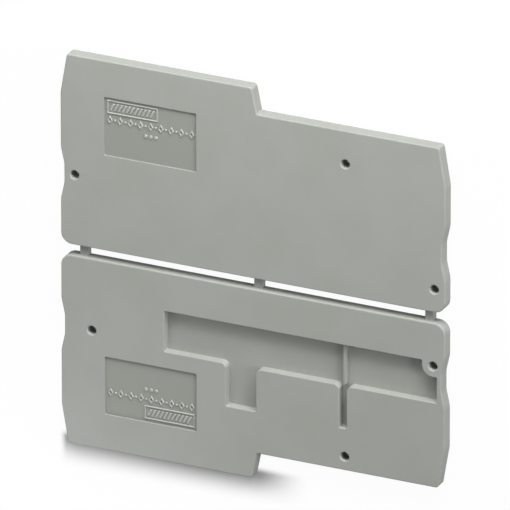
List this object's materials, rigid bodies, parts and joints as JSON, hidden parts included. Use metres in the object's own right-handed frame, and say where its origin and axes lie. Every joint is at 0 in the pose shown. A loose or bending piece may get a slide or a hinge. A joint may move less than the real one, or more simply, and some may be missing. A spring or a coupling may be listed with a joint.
{
  "type": "terminal block end cover pair",
  "caption": "Two thin stepped cover plates for the open ends of narrow rail-mounted terminal blocks, moulded as one flat piece and joined by small break-off webs.",
  "frame": {"origin": "centre of the gap between the plates, on the flat back", "axes": "+Z out of the front face with the holes and the pocket, +X along the plates towards the low parts, +Y from the lower plate with the pocket to the upper plate"},
  "size_m": [0.071, 0.0718, 0.0022],
  "materials": {
    "grey_polyamide": "fine satin moulded texture, light warm grey"
  },
  "bodies": {
    "root": {"end_cover_pair": "grey_polyamide"}
  },
  "joints": []
}
